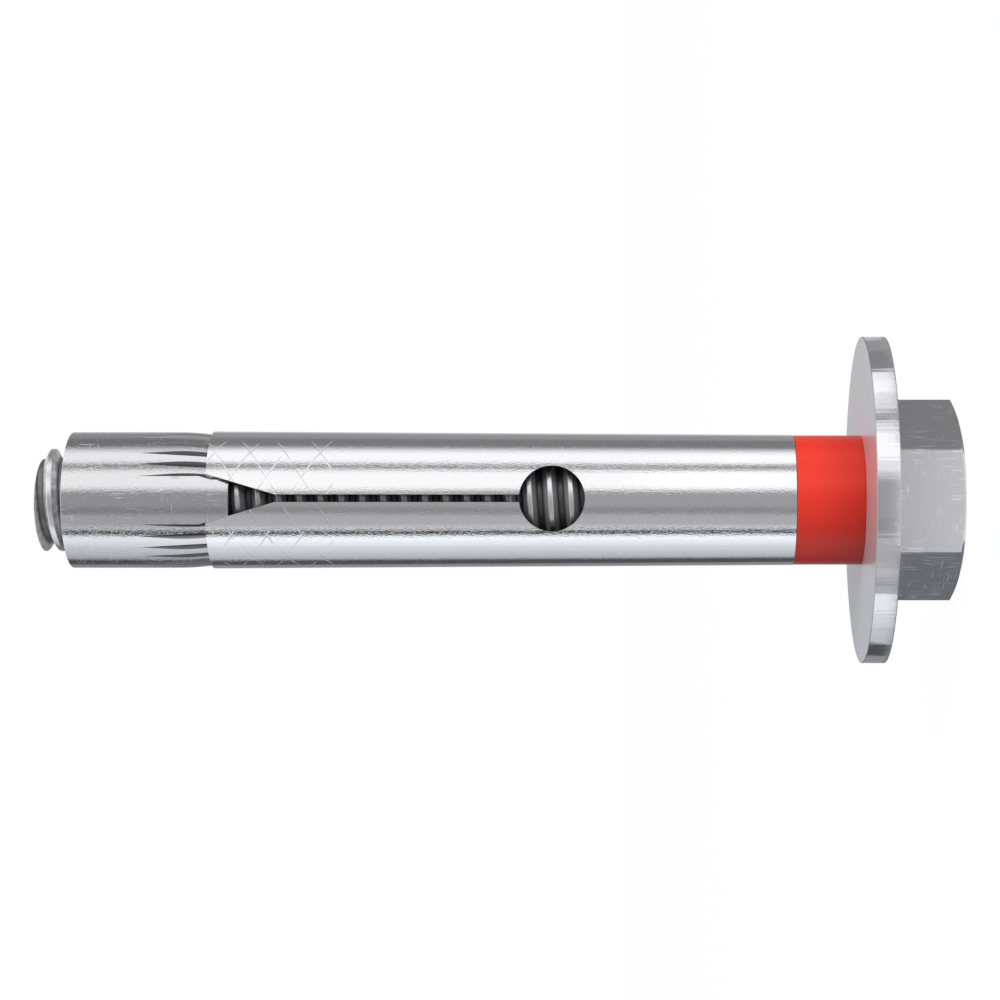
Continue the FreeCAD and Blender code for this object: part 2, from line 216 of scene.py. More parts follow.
lamp = bpy.data.lights.new("key_softbox", "AREA")
lamp.shape = "RECTANGLE"
lamp.size = SOFTBOX_SIZE
lamp.size_y = SOFTBOX_SIZE
lamp.energy = KEY_WATTS
key = bpy.data.objects.new("key_softbox", lamp)
key.location = around(KEY_TURN, KEY_DISTANCE, KEY_HEIGHT)
aim = Vector((0, 0, BOLT_TIP / 2)) - key.location
key.rotation_euler = aim.to_track_quat("-Z", "Y").to_euler()
key.visible_glossy = False
bpy.context.scene.collection.objects.link(key)
print("key light at", tuple(round(value, 3) for value in key.location))

# %% [markdown]
# ## Flags
# A bright cylinder in a white tent has no form. A photographer stands grey and black strips
# about it, called flags, and each one draws a band along the metal. A point that faces an
# angle away from the camera shows what stands at twice that angle, so the bands in the
# picture give the flags' places and greys.

# %% Angles and greys of the flags
# From and to, in degrees from the camera towards +X, and how light.
FAR_FLAGS = [
    (-46, -24, 0.42),
    (-24, -13, 0.25),
    (-13, 15, 0.34),
    (15, 19, 0.68),
    (51, 54, 0.7),
    (54, 63, 0.31),
    (63, 66, 0.7),
    (88, 92, 0.86),
    (92, 97, 0.66),
    (97, 101, 0.4),
    (101, 128, 0.2),
    (128, 155, 0.3),
    (-52.5, -46, 0.66),
    (-61.5, -52.5, 0.05),
    (-74, -61.5, 1.03),
    (-84, -74, 0.88),
    (-97, -84, 0.7),
    (-108, -97, 0.58),
    (-120, -108, 0.5),
    (-142, -120, 0.08),
    (-165, -142, 0.28),
    (-180, -165, 0.54),
    (155, 180, 0.55),
]
# The same for the near floor as the washer's rim sees it, and for the head's faces.
RIM_FLAGS = [
    (-46, -24, 0.42),
    (-24, -13, 0.27),
    (-13, 15, 0.31),
    (15, 19, 0.58),
    (19, 28, 0.78),
    (50, 56, 0.76),
    (56, 61, 0.3),
    (61, 65, 0.52),
    (65, 75, 0.78),
    (75, 80, 0.84),
    (91, 101, 0.92),
    (101, 128, 0.23),
    (128, 155, 0.3),
    (-53, -46, 0.5),
    (-58, -53, 0.47),
    (-62, -58, 0.38),
    (-68, -62, 0.46),
    (-84, -68, 0.9),
    (-97, -84, 0.74),
    (-108, -97, 0.6),
    (-120, -108, 0.56),
    (-142, -120, 0.08),
    (-165, -142, 0.28),
    (-180, -165, 0.45),
    (155, 180, 0.55),
]
HEAD_FLAGS = [
    (35, 180, 0.305),
    (-30, 35, 0.93),
    (-180, -30, 0.22),
]
print("flags:", len(FAR_FLAGS), "far,", len(RIM_FLAGS), "for the rim,", len(HEAD_FLAGS), "near")

# %% [markdown]
# ## A flag
# A flag is a short line, spun about the axis from one angle to the other. It shows one grey,
# a little cooler on the side away from the light, as in the picture. It shows in metal only,
# and casts no shadow.

# %% Make a flag
FLAG_STEPS = 12
NEUTRAL = (0.99, 0.98, 1.025)
COOL = (0.92, 0.955, 1.01)
BLUE = (0.86, 0.92, 1.07)
COOL_PAST = -55


def grey_card(light, tint):
    """A surface that shows one grey, whatever light falls on it."""
    card = bpy.data.materials.new(f"card_{round(light * 100)}")
    card.use_nodes = True
    tree = card.node_tree
    tree.nodes.clear()
    colour = (*[light * share for share in tint], 1)
    glow = add_node(tree, "ShaderNodeEmission", {"Color": colour})
    add_node(tree, "ShaderNodeOutputMaterial", {"Surface": glow.outputs[0]})
    return card


def stand_flag(start, end, light, steps, cold=COOL):
    """A strip along some steps, spun about the axis from one angle to another."""
    bpy.ops.object.select_all(action="DESELECT")
    first, *others = [around(start, radius, height) for radius, height in steps]
    bpy.ops.mesh.primitive_plane_add(size=MM, location=first)
    bpy.ops.object.mode_set(mode="EDIT")
    bpy.ops.mesh.merge(type="CENTER")
    for point in others:
        bpy.ops.mesh.extrude_region_move(TRANSFORM_OT_translate={"value": point - first})
        first = point
    bpy.ops.mesh.select_all(action="SELECT")
    turn = math.radians(start - end)  # a positive spin runs clockwise seen from above
    bpy.ops.mesh.spin(steps=FLAG_STEPS, angle=turn, center=(0, 0, 0), axis=(0, 0, 1))
    bpy.ops.object.mode_set(mode="OBJECT")
    flag = bpy.context.object
    flag.name = f"flag_{start:.0f}_{end:.0f}"
    flag.data.materials.append(grey_card(light, cold if start < COOL_PAST else NEUTRAL))
    flag.visible_camera = False
    flag.visible_diffuse = False
    flag.visible_shadow = False
    return flag


print("a flag has", FLAG_STEPS, "steps")

# %% [markdown]
# ## Where the flags stand
# The far flags stand upright, a hand's span away, and also run in along the floor. The
# washer's rim looks down at a nearer ring of the floor, which has flags of its own, and the
# faces of the head look at the floor close by, which has one wide flag for each face in view.

# %% Stand the flags about the anchor
FLAG_RADIUS = 0.18
FLAG_HEIGHT = 0.2
FLAG_LIFT = 0.05 * MM
UNDER_HEAD = 5 * MM
PAST_HEAD = 57 * MM
PAST_RIM = 92 * MM
RIM_SEES_AT = 60 * MM


def as_the_rim_sees(degrees):
    """The place on the near floor where the washer's rim mirrors an angle."""
    half = math.radians(degrees / 2)
    aside = WASHER_RADIUS * math.sin(half)
    ahead = RIM_SEES_AT + WASHER_RADIUS * math.cos(half)
    return degrees - math.degrees(math.atan2(aside, ahead))


far_steps = [(PAST_RIM, FLAG_LIFT), (FLAG_RADIUS, FLAG_LIFT), (FLAG_RADIUS, FLAG_HEIGHT)]
rim_steps = [(PAST_HEAD, FLAG_LIFT), (PAST_RIM, FLAG_LIFT)]
head_steps = [(UNDER_HEAD, FLAG_LIFT), (PAST_HEAD, FLAG_LIFT)]
for numbers in FAR_FLAGS:
    print(stand_flag(*numbers, far_steps).name, end=" ")
for start, end, light in RIM_FLAGS:
    near = [as_the_rim_sees(degrees) for degrees in (start, end)]
    print(stand_flag(*near, light, rim_steps).name, end=" ")
for numbers in HEAD_FLAGS:
    print(stand_flag(*numbers, head_steps, BLUE).name, end=" ")
print("stand about the anchor")

# %% [markdown]
# ## Turning and drawing
# Nearly every piece of the anchor is turned, rolled or drawn about one axis. So the model
# starts as a lathe does: a vertex is extruded from point to point into a profile, and the
# profile is spun about the axis. A flat outline drawn in the same way and extruded towards
# the front makes the cutters for slots.

# %% Helpers that draw and turn
WELD = 0.0005 * MM
TURN_STEPS = 128


def draw_line(name, points):
    """An open line, drawn by extruding a vertex from each point to the next."""
    bpy.ops.object.select_all(action="DESELECT")
    bpy.ops.mesh.primitive_plane_add(size=MM, location=points[0])
    line = bpy.context.object
    line.name = name
    bpy.ops.object.transform_apply(location=True, rotation=False, scale=False)
    bpy.ops.object.mode_set(mode="EDIT")
    bpy.ops.mesh.merge(type="CENTER")
    for last, point in zip(points, points[1:]):
        step = Vector(point) - Vector(last)
        bpy.ops.mesh.extrude_region_move(TRANSFORM_OT_translate={"value": step})
    bpy.ops.mesh.select_all(action="SELECT")
    bpy.ops.mesh.remove_doubles(threshold=WELD)
    return line


def close_up(piece):
    """Weld a finished shell, turn its faces outwards and leave edit mode."""
    bpy.ops.mesh.select_all(action="SELECT")
    bpy.ops.mesh.remove_doubles(threshold=WELD)
    bpy.ops.mesh.normals_make_consistent(inside=False)
    bpy.ops.object.mode_set(mode="OBJECT")
    return piece


def turned(name, profile):
    """A solid of revolution. A profile that starts and ends on the axis is left open there."""
    points = [Vector((radius, 0, height)) for radius, height in profile]
    if profile[0][0] > 0:
        points.append(points[0])
    piece = draw_line(name, points)
    bpy.ops.mesh.spin(steps=TURN_STEPS, angle=math.tau, center=(0, 0, 0), axis=(0, 0, 1))
    return close_up(piece)


def prism(name, outline, way):
    """A flat outline of points, filled and extruded along a way."""
    piece = draw_line(name, outline + outline[:1])
    bpy.ops.mesh.edge_face_add()
    bpy.ops.mesh.extrude_region_move(TRANSFORM_OT_translate={"value": way})
    return close_up(piece)


print("a turned piece has", TURN_STEPS, "sides")

# %% [markdown]
# ## Cutting and finishing
# Slots and flutes are cut as on a mill: a cutter is modelled once, copied to its places about
# the axis and subtracted. After each cut the shell is welded and its faces are turned
# outwards, because a torn edge or a flipped face would spoil the next cut. The report counts
# open edges, of which a finished piece has none.

# %% Helpers that cut, repeat and finish
SMOOTH_BELOW = math.radians(25)


def finish_modifier(piece, kind, **settings):
    """Add one modifier to a piece and apply it."""
    bpy.context.view_layer.objects.active = piece
    bpy.ops.object.modifier_add(type=kind)
    modifier = piece.modifiers[-1]
    for name, value in settings.items():
        setattr(modifier, name, value)
    bpy.ops.object.modifier_apply(modifier=modifier.name)


def combine(piece, tool, operation="DIFFERENCE", **settings):
    """Cut, join or intersect a piece with a tool, which is used up."""
    bpy.ops.object.select_all(action="DESELECT")
    finish_modifier(
        piece, "BOOLEAN", object=tool, operation=operation, solver="EXACT", **settings
    )
    tool.select_set(True)
    bpy.ops.object.delete()
    bpy.ops.object.mode_set(mode="EDIT")
    return close_up(piece)


def repeated(piece, turns):
    """Copies of a piece at angles about the axis, joined into one mesh."""
    copies = []
    for degrees in turns:
        bpy.ops.object.select_all(action="DESELECT")
        piece.select_set(True)
        bpy.context.view_layer.objects.active = piece
        bpy.ops.object.duplicate()
        copy = bpy.context.object
        copy.rotation_euler.z = math.radians(degrees)
        bpy.ops.object.transform_apply(location=False, rotation=True, scale=False)
        copies.append(copy)
    bpy.ops.object.select_all(action="DESELECT")
    piece.select_set(True)
    bpy.ops.object.delete()
    for copy in copies:
        copy.select_set(True)
    bpy.context.view_layer.objects.active = copies[0]
    bpy.ops.object.join()
    return bpy.context.object


def turn_piece(piece, degrees):
    """Turn a piece about the axis, in its mesh."""
    bpy.ops.object.select_all(action="DESELECT")
    piece.select_set(True)
    bpy.context.view_layer.objects.active = piece
    piece.rotation_euler.z = math.radians(degrees)
    bpy.ops.object.transform_apply(location=False, rotation=True, scale=False)


def smooth(piece):
    """Smooth shading that keeps the corners sharp."""
    bpy.ops.object.select_all(action="DESELECT")
    piece.select_set(True)
    bpy.context.view_layer.objects.active = piece
    bpy.ops.object.shade_smooth_by_angle(angle=SMOOTH_BELOW)


def report(piece):
    """Print how large a piece is, and whether its shell is closed."""
    shell = bmesh.new()
    shell.from_mesh(piece.data)
    open_edges = sum(1 for edge in shell.edges if len(edge.link_faces) != 2)
    size = [round(value / MM, 2) for value in piece.dimensions]
    triangles = sum(len(face.verts) - 2 for face in shell.faces)
    volume = shell.calc_volume(signed=True) / MM**3
    print(f"{piece.name}: {size} mm, {triangles} triangles, {open_edges} open edges, "
          f"{volume:.1f} mm3")
    shell.free()


print("cutting helpers ready")

# %% [markdown]
# ## The thread
# A rolled thread is one groove profile wound along a screw line. The profile of a single
# pitch is drawn, root, flank and crest, and the Screw modifier winds it right handed. The ends
# are then cut off flat, which also closes the rod. The crest is a narrow flat with round
# shoulders, because its highlight is the brightest thing that shows through the sleeve's slot.

# %% A threaded rod of any length
PITCH = 1.51 * MM
CREST_RADIUS = 3.77 * MM
CREST_HALF = 0.12 * MM
CREST_ROUND = 0.1 * MM
ROOT_HALF = 0.09 * MM
ROOT_ROUND = 0.1 * MM
FLANK_DEGREES = 60
CREST_AT_FRONT = 40.39 * MM
WIND_STEPS = 64

flank_sine = math.sin(math.radians(FLANK_DEGREES))
flank_cosine = math.cos(math.radians(FLANK_DEGREES))
flank_run = PITCH / 2 - CREST_HALF - ROOT_HALF - (CREST_ROUND + ROOT_ROUND) * flank_sine
thread_depth = (CREST_ROUND + ROOT_ROUND) * (1 - flank_cosine) + flank_run * math.tan(
    math.radians(FLANK_DEGREES)
)


def threaded_rod(name, foot, tip, growth=0.0):
    """A right-hand thread from foot to tip, with its radius larger by growth."""
    crest = CREST_RADIUS + growth
    root = crest - thread_depth
    # The crest is half a pitch up the profile, and the front three quarters of a turn on.
    start = CREST_AT_FRONT - 1.25 * PITCH
    start -= math.ceil((start - foot) / PITCH + 1) * PITCH
    rise = [(root, 0)]
    for turn in (0, FLANK_DEGREES / 2, FLANK_DEGREES):
        lift = ROOT_ROUND * (1 - math.cos(math.radians(turn)))
        rise.append((root + lift, ROOT_HALF + ROOT_ROUND * math.sin(math.radians(turn))))
    shoulder = PITCH / 2 - CREST_HALF
    for turn in (FLANK_DEGREES, FLANK_DEGREES * 2 / 3, FLANK_DEGREES / 3, 0):
        fall = CREST_ROUND * (1 - math.cos(math.radians(turn)))
        rise.append((crest - fall, shoulder - CREST_ROUND * math.sin(math.radians(turn))))
    rise.append((crest, shoulder + CREST_HALF / 3))
    rise.append((crest, PITCH / 2))
    profile = rise + [(radius, PITCH - height) for radius, height in reversed(rise[:-1])]
    rod = draw_line(name, [Vector((radius, 0, start + height)) for radius, height in profile])
    bpy.ops.object.mode_set(mode="OBJECT")
    turns = math.ceil((tip - start) / PITCH) + 1
    finish_modifier(
        rod, "SCREW", screw_offset=PITCH, iterations=turns, steps=WIND_STEPS,
        render_steps=WIND_STEPS, use_merge_vertices=False,
    )
    bpy.ops.object.mode_set(mode="EDIT")
    bpy.ops.mesh.select_all(action="SELECT")
    bpy.ops.mesh.remove_doubles(threshold=WELD)
    for height, past in ((foot, "clear_inner"), (tip, "clear_outer")):
        bpy.ops.mesh.select_all(action="SELECT")
        bpy.ops.mesh.bisect(
            plane_co=(0, 0, height), plane_no=(0, 0, 1), use_fill=True, threshold=WELD / 10,
            **{past: True},
        )
    return close_up(rod)


print(f"thread: {thread_depth / MM:.2f} mm deep")

# %% [markdown]
# ## The hex bolt
# The head is forged as a plain hexagon, and its corners are turned off at the end face, which
# leaves the six arcs that show at its rim. A hexagonal prism is intersected with a turned
# solid to do the same, and the same solid rounds its six long edges. The rod's tip gets a short
# chamfer by another intersection, and head and rod are joined into one mesh.

# %% Model the bolt
ACROSS_FLATS = 12.86 * MM
HEAD_CHAMFER_INSET = 0.93 * MM
HEAD_CHAMFER_DEGREES = 15
CORNER_RADIUS = 7.39 * MM
HEAD_TURN = -0.7
TIP_RADIUS = 3.5 * MM
TIP_CHAMFER = 0.15 * MM

bpy.ops.object.select_all(action="DESELECT")
bpy.ops.mesh.primitive_cylinder_add(
    vertices=6, radius=ACROSS_FLATS / math.sqrt(3), depth=HEAD_TOP,
    location=(0, 0, HEAD_TOP / 2), rotation=(0, 0, math.radians(30)),
)
bolt = bpy.context.object
bolt.name = "threaded_bolt"
bpy.ops.object.transform_apply(location=True, rotation=True, scale=True)
edge_circle = ACROSS_FLATS / 2 - HEAD_CHAMFER_INSET
chamfer_rise = (CORNER_RADIUS - edge_circle) * math.tan(math.radians(HEAD_CHAMFER_DEGREES))
corners_off = turned(
    "corners_off",
    [
        (0, 0),
        (edge_circle, 0),
        (CORNER_RADIUS, chamfer_rise),
        (CORNER_RADIUS, HEAD_TOP + MM),
        (0, HEAD_TOP + MM),
    ],
)
combine(bolt, corners_off, "INTERSECT")

rod = threaded_rod("rod", HEAD_TOP / 2, BOLT_TIP + MM)
wide = CREST_RADIUS + MM
tip_edge = BOLT_TIP - TIP_CHAMFER * (wide - TIP_RADIUS) / (CREST_RADIUS - TIP_RADIUS)
tip_shape = turned(
    "tip_shape",
    [
        (0, HEAD_TOP / 4),
        (wide, HEAD_TOP / 4),
        (wide, tip_edge),
        (TIP_RADIUS, BOLT_TIP),
        (0, BOLT_TIP),
    ],
)
combine(rod, tip_shape, "INTERSECT")
combine(bolt, rod, "UNION")
turn_piece(bolt, HEAD_TURN)
smooth(bolt)
report(bolt)

# %% [markdown]
# ## The expansion sleeve
# The sleeve is rolled from strip. It flares a little towards its mouth, where the inside is
# coined to a thin lip for the cone. Two slots, each with a round relief hole, and the open
# seam part it into three legs, and all three open into a V at the mouth. Cutters for all of
# them go in at the front and are turned into place.

# %% Model the sleeve
SLEEVE_TURN = 1.5
SLEEVE_BORE = 4.07 * MM
SLEEVE_WALL = 0.72 * MM
LIP_RADIUS = 4.853 * MM
LIP = 0.192 * MM
SEAT_DEPTH = 4.7 * MM
SEAT_DROP = 0.577 * MM
MOUTH_HALF = 1.77 * MM
MOUTH_DEPTH = 5 * MM
SLIT_HALF = 0.275 * MM
SEAM_HALF = 0.2 * MM
RELIEF_RADIUS = 2.375 * MM
RELIEF_FROM_MOUTH = 24.9 * MM
RELIEF_SIDES = 96
SLOT_TURNS = (0, 120)
SEAM_TURN = 240
OUT = Vector((0, -8 * MM, 0))  # from the axis, out through the front

sleeve = turned(
    "rolled_sleeve",
    [
        (SLEEVE_BORE, SLEEVE_FOOT),
        (SLEEVE_BORE + SLEEVE_WALL, SLEEVE_FOOT),
        (LIP_RADIUS + LIP, SLEEVE_MOUTH),
        (LIP_RADIUS, SLEEVE_MOUTH),
        (LIP_RADIUS - SEAT_DROP, SLEEVE_MOUTH - SEAT_DEPTH),
    ],
)
relief_height = SLEEVE_MOUTH - RELIEF_FROM_MOUTH
throat = SLEEVE_MOUTH - MOUTH_DEPTH
above = SLEEVE_MOUTH + MM
wide_half = SLIT_HALF + (MOUTH_HALF - SLIT_HALF) * (above - throat) / MOUTH_DEPTH


def slot_outline(half, low):
    """A slit of a half width from a low end up to the throat, opening into the V."""
    right = [(half, low), (SLIT_HALF, throat), (wide_half, above)]
    left = [(-across, height) for across, height in reversed(right)]
    return [Vector((across, 0, height)) for across, height in right + left]


slot = prism("slot", slot_outline(SLIT_HALF, relief_height), OUT)
combine(sleeve, repeated(slot, SLOT_TURNS))
seam = prism("seam", slot_outline(SEAM_HALF, SLEEVE_FOOT - MM), OUT)
combine(sleeve, repeated(seam, (SEAM_TURN,)))
bpy.ops.object.select_all(action="DESELECT")
bpy.ops.mesh.primitive_cylinder_add(
    vertices=RELIEF_SIDES, radius=RELIEF_RADIUS, depth=-OUT.y, rotation=(math.radians(90), 0, 0),
    location=OUT / 2 + Vector((0, 0, relief_height)),
)
bpy.ops.object.transform_apply(location=True, rotation=True, scale=True)
relief = bpy.context.object
combine(sleeve, repeated(relief, SLOT_TURNS))
turn_piece(sleeve, SLEEVE_TURN)
smooth(sleeve)
report(sleeve)

# %% [markdown]
# ## The cone nut
# The nut is a turned barrel with a coned end. Three tongues, the keys, stand proud on the cone
# and fill the mouths of the sleeve, so that the nut can't spin while the bolt is driven. A
# key is cut out of a turned ring by a prism of its own outline, so its outer face stays round.

# %% Model the nut's barrel and a key
KEY_TURNS = (*SLOT_TURNS, SEAM_TURN)
NUT_TURN = -0.2
NUT_FOOT = nut_low.z
CONE_LENGTH = 4.25 * MM
CONE_DROP = 0.47 * MM
CONE_POINTS = 12
END_ROUND = 0.04 * MM
END_STEPS = 6
KEY_HALF = 1.74 * MM
KEY_END_HALF = 1.106 * MM
KEY_FULL_AT = 2.12 * MM
KEY_END_DROP = 0.1 * MM
KEY_FLOOR = 4 * MM
KEY_UNDER_BARREL = 0.002 * MM
FLUTE_LENGTH = 6.6 * MM

arc_radius = (CONE_DROP**2 + CONE_LENGTH**2) / (2 * CONE_DROP)
nut_profile = [(0, NUT_FOOT)]
for step in range(CONE_POINTS + 1):
    rise = CONE_LENGTH * step / CONE_POINTS
    drop = arc_radius - math.sqrt(arc_radius**2 - (CONE_LENGTH - rise) ** 2)
    nut_profile.append((BARREL_RADIUS - drop, NUT_FOOT + rise))
for step in range(END_STEPS + 1):
    turn = math.radians(90 * step / END_STEPS)
    radius = BARREL_RADIUS - END_ROUND * (1 - math.cos(turn))
    nut_profile.append((radius, NUT_END - END_ROUND * (1 - math.sin(turn))))
nut = turned("fluted_nut", nut_profile + [(0, NUT_END)])

narrowing = (KEY_HALF - KEY_END_HALF) / KEY_FULL_AT
key_side = [
    (KEY_END_HALF - MM * narrowing, NUT_FOOT - MM),
    (KEY_HALF, NUT_FOOT + KEY_FULL_AT),
    (KEY_HALF, NUT_FOOT + FLUTE_LENGTH + MM),
]
key_outline = key_side + [(-across, height) for across, height in reversed(key_side)]
key = prism("key", [Vector((across, -2 * MM, height)) for across, height in key_outline], OUT)
key_ring = turned(
    "key_ring",
    [
        (KEY_FLOOR, NUT_FOOT),
        (BARREL_RADIUS - KEY_END_DROP, NUT_FOOT),
        (BARREL_RADIUS - KEY_UNDER_BARREL, NUT_FOOT + CONE_LENGTH),
        (BARREL_RADIUS - KEY_UNDER_BARREL, NUT_FOOT + FLUTE_LENGTH),
        (KEY_FLOOR, NUT_FOOT + FLUTE_LENGTH),
    ],
)
combine(key, key_ring, "INTERSECT")
report(key)

# %% [markdown]
# ## Flutes and thread
# Between the keys the cone is fluted. A flute is a V milled at a slope, deep at the cone's
# small end and running out on the barrel. The flutes crowd right up to the keys, so the keys
# are joined on after the fluting, and their sides stay straight. The bore is cut with the same
# threaded rod as the bolt's own, a little larger, and countersunk at both ends.

# %% Cut the flutes and the thread
FLUTES = 8
FLUTE_DEPTH = 0.577 * MM
FLUTE_HALF_DEGREES = 41
FLUTE_REACH = 0.68 * MM
THREAD_CLEARANCE = 0.05 * MM
BORE_CHAMFER = 0.35 * MM

slope = FLUTE_DEPTH / FLUTE_LENGTH
floor_radius = BARREL_RADIUS - FLUTE_DEPTH - slope * MM
rim_radius = floor_radius + FLUTE_REACH
half = FLUTE_REACH * math.tan(math.radians(FLUTE_HALF_DEGREES))
section = [(half, rim_radius), (0, floor_radius), (-half, rim_radius)]
run = FLUTE_LENGTH + 2 * MM
flute = prism(
    "flute",
    [Vector((across, -radius, NUT_FOOT - MM)) for across, radius in section],
    Vector((0, -slope * run, run)),
)
key_half_degrees = math.degrees(math.asin(KEY_HALF / BARREL_RADIUS))
land = 120 - 2 * key_half_degrees
flute_turns = [
    sector + key_half_degrees + land * step / (FLUTES - 1)
    for sector in KEY_TURNS
    for step in range(FLUTES)
]
combine(nut, repeated(flute, flute_turns))
combine(nut, repeated(key, KEY_TURNS), "UNION")
report(nut)
bore_radius = CREST_RADIUS + THREAD_CLEARANCE
combine(nut, threaded_rod("bore_thread", NUT_FOOT - MM, NUT_END + MM, THREAD_CLEARANCE))
for end, outwards in ((NUT_FOOT, -1), (NUT_END, 1)):
    countersink = turned(
        "countersink",
        [
            (0, end - outwards * 2 * MM),
            (bore_radius + BORE_CHAMFER - 2 * MM, end - outwards * 2 * MM),
            (bore_radius + BORE_CHAMFER + MM, end + outwards * MM),
            (0, end + outwards * MM),
        ],
    )
    combine(nut, countersink)
turn_piece(nut, NUT_TURN)
smooth(nut)
report(nut)

# %% [markdown]
# ## Finishes
# Bright zinc is a mirror with faults, and the faults make it look real. All of them are worked
# out from each piece's own coordinates, in millimetres, so they stay on the piece wherever it
# moves. A small class holds a material's nodes and has a plain word for each step that the
# finishes share.

# %% Building blocks for the finishes
END_SKIN_MM = (0.005, 0.02)
STREAK_EDGE = 0.05
STREAKED_PLACES = 0.45  # to a millimetre
STREAKED_NOISE = (0.5, 0.6)


class Finish:
    """A new material with its shader and the object's own coordinates in millimetres."""

    def __init__(self, name):
        self.material = bpy.data.materials.new(name)
        self.material.use_nodes = True
        self.tree = self.material.node_tree
        self.shader = self.tree.nodes["Principled BSDF"]
        own = self.node("ShaderNodeTexCoord").outputs["Object"]
        scale = {0: own, "Scale": 1 / MM}
        self.point = self.node("ShaderNodeVectorMath", scale, operation="SCALE").outputs[0]
        self.x, self.y, self.z = self.node("ShaderNodeSeparateXYZ", {0: self.point}).outputs
        flat = self.sum("ADD", self.sum("POWER", self.x, 2.0), self.sum("POWER", self.y, 2.0))
        self.radius = self.sum("SQRT", flat)

    def node(self, kind, values=None, **settings):
        """One more node in this finish."""
        return add_node(self.tree, kind, values, **settings)

    def sum(self, operation, *values, **settings):
        """The result of one sum in this finish."""
        return math_node(self.tree, operation, *values, **settings)

    def times(self, first, *others):
        """The product of several numbers."""
        for other in others:
            first = self.sum("MULTIPLY", first, other)
        return first

    def most(self, first, *others):
        """The largest of several numbers."""
        for other in others:
            first = self.sum("MAXIMUM", first, other)
        return first

    def between(self, value, low, high, at_low=0.0, at_high=1.0):
        """A value's place between low and high, clamped, as a number from at_low to at_high."""
        span = {"Value": value, "From Min": low, "From Max": high, "To Min": at_low,
                "To Max": at_high}
        return self.node("ShaderNodeMapRange", span).outputs[0]

    def noise(self, across, along, detail=2.0, seed=0.0):
        """Noise with so many features to a millimetre, across the axis and along it."""
        place = {"Vector": self.point, "Location": (seed, seed, seed),
                 "Scale": (across, across, along)}
        moved = self.node("ShaderNodeMapping", place).outputs[0]
        values = {"Vector": moved, "Scale": 1.0, "Detail": detail}
        return self.node("ShaderNodeTexNoise", values).outputs[0]

    def blend(self, share, first, second):
        """A colour between two colours."""
        colours = {0: share, 6: first, 7: second}
        return self.node("ShaderNodeMix", colours, data_type="RGBA").outputs[2]

    def level(self, share, first, second):
        """A number between two numbers."""
        return self.node("ShaderNodeMix", {0: share, 2: first, 3: second}).outputs[0]

    def off_end(self, height):
        """0 on the flat end face at a height, and 1 a hair below it."""
        start, full = [height / MM - deep for deep in END_SKIN_MM]
        return self.between(self.z, start, full)

    def streaks(self, across, along, rarity, seed):
        """1 on sparse thin scratches that run along the axis or across it, 0 elsewhere."""
        lines = self.noise(across, along, 0.0, seed)
        lines = self.between(lines, rarity, rarity + STREAK_EDGE)
        places = self.noise(STREAKED_PLACES, STREAKED_PLACES, 1.0, seed + 7)
        return self.times(lines, self.between(places, *STREAKED_NOISE))

    def set(self, name, value):
        """Give one of the shader's inputs a constant or a link."""
        if isinstance(value, bpy.types.NodeSocket):
            self.tree.links.new(value, self.shader.inputs[name])
        else:
            self.shader.inputs[name].default_value = value

    def coat(self, base, roughness, height):
        """Put a colour, a roughness and a relief in millimetres on the shader."""
        self.set("Base Color", base)
        self.set("Roughness", roughness)
        relief = {"Height": height, "Distance": MM, "Strength": 1.0}
        self.set("Normal", self.node("ShaderNodeBump", relief).outputs[0])
        print(self.material.name, "ready")
        return self.material


print("finish helpers ready")

# %% [markdown]
# ## Zinc plating
# The plating follows the metal beneath it. Rolled strip and turned bar have fine marks along
# their length, so the edge of each reflection breaks up into short dashes. Tumbling with other
# parts leaves sparse light scratches along and across, and a little cloudiness. A faint relief
# makes the marks, and lighter, rougher places make the rest. The bores, the cuts and the
# flutes get painted shade: where it is wanted they are coloured nearly black and made dull.

# %% Zinc plating
ZINC = (0.95, 0.95, 0.96, 1)
SCRATCHED = (0.98, 0.98, 0.98, 1)
# Painted shade, nearly black, for bores, cuts and flutes.
PAINTED_INSIDE_SHADE = (0.1, 0.1, 0.11, 1)
ZINC_ROUGH = 0.09
SCRATCH_ROUGH = 0.45
INSIDE_ROUGH = 0.42
MARKS_MM = 0.006
CLOUDY_NOISE = (0.54, 0.7)


def plate(finish, colour=ZINC, rarity=0.78, hazy=0.3, inside=None):
    """Bright plating, broken up by fine marks along the axis, with painted shade, dark and dull,
    where inside is 1.
    """
    height = finish.times(finish.noise(across=14.0, along=4.4, detail=1.0), MARKS_MM)
    along = finish.streaks(16.0, 0.7, rarity, 3.0)
    around_it = finish.streaks(1.1, 15.0, rarity + 0.02, 11.0)
    clouds = finish.noise(across=10.0, along=2.0, detail=2.0, seed=37.0)
    haze = finish.between(clouds, *CLOUDY_NOISE, 0.0, hazy)
    scratches = finish.most(along, around_it, haze)
    base = finish.blend(scratches, colour, SCRATCHED)
    roughness = finish.level(scratches, ZINC_ROUGH, SCRATCH_ROUGH)
    # Where inside is 1, the colour is painted shade.
    if inside is not None:
        base = finish.blend(inside, base, PAINTED_INSIDE_SHADE)
        roughness = finish.level(inside, roughness, INSIDE_ROUGH)
    finish.set("Metallic", 1.0)
    return base, roughness, height


print("plating ready")

# %% [markdown]
# ## The nut's finish
# The flutes are told from the skin by their depth beneath it. The skin's radius is known at
# each height: it is the barrel's, and below that it follows the cone's arc. The flutes get
# painted shade, dark and dull. In the sleeve's mouth they lie in shade as it is, so less shade
# is painted there, and the flat end of the nut stays bright.

# %% Zinc on the nut, with painted shade in the flutes
NUT_ZINC = (0.79, 0.79, 0.8, 1)
# How much painted shade the flutes get, in the open and in the sleeve's mouth.
FLUTES_PAINTED_SHADE = 0.74
PAINTED_SHADE_IN_MOUTH = 0.3
MOUTH_BLUR_MM = 0.1
SKIN_MM = (0.003, 0.02)

